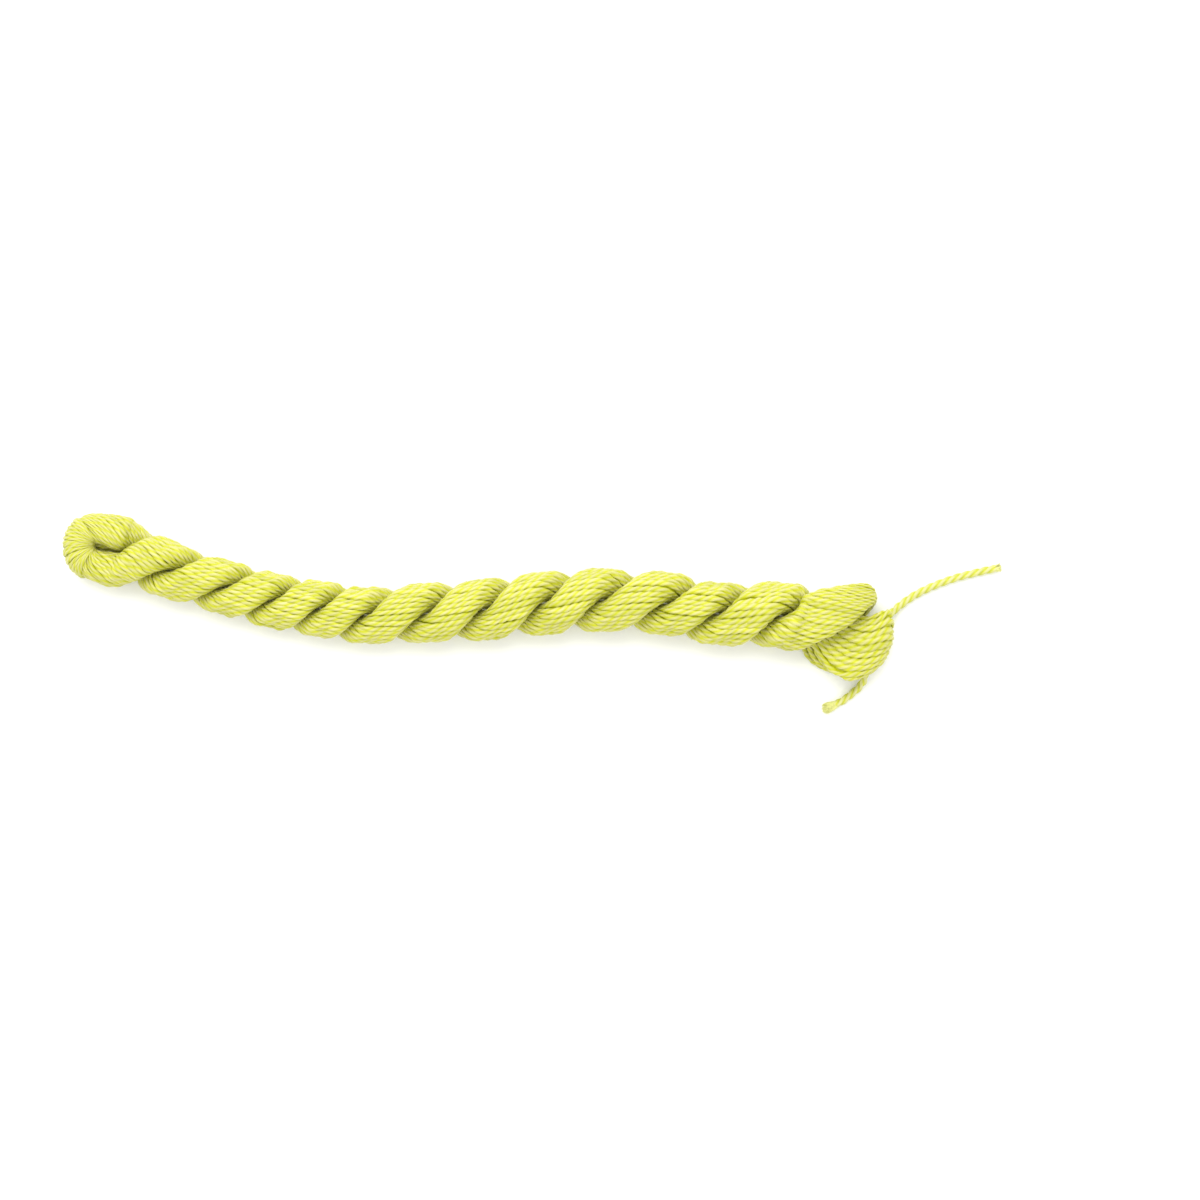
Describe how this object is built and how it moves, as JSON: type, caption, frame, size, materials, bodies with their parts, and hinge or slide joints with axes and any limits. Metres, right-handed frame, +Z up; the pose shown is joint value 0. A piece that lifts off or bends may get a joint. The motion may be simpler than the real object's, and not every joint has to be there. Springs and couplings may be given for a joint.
{
  "type": "skein of embroidery floss",
  "caption": "Slim hank of thick silky floss, twisted and doubled into a two-ply rope, looped through itself at one end, with a short cord tie through the head.",
  "frame": {"origin": "on the surface that the hank rests on, under the middle of the hank's outline, leaving out the tie", "axes": "+X along the hank from its left fold to its head, +Z up from the surface"},
  "size_m": [0.2449, 0.0522, 0.0169],
  "materials": {
    "floss": "silky three-ply plied yarn, yellow-green",
    "tie_floss": "one loose length of the same silky three-ply yarn"
  },
  "bodies": {
    "root": {"hank": "floss", "tie": "tie_floss"}
  },
  "joints": []
}
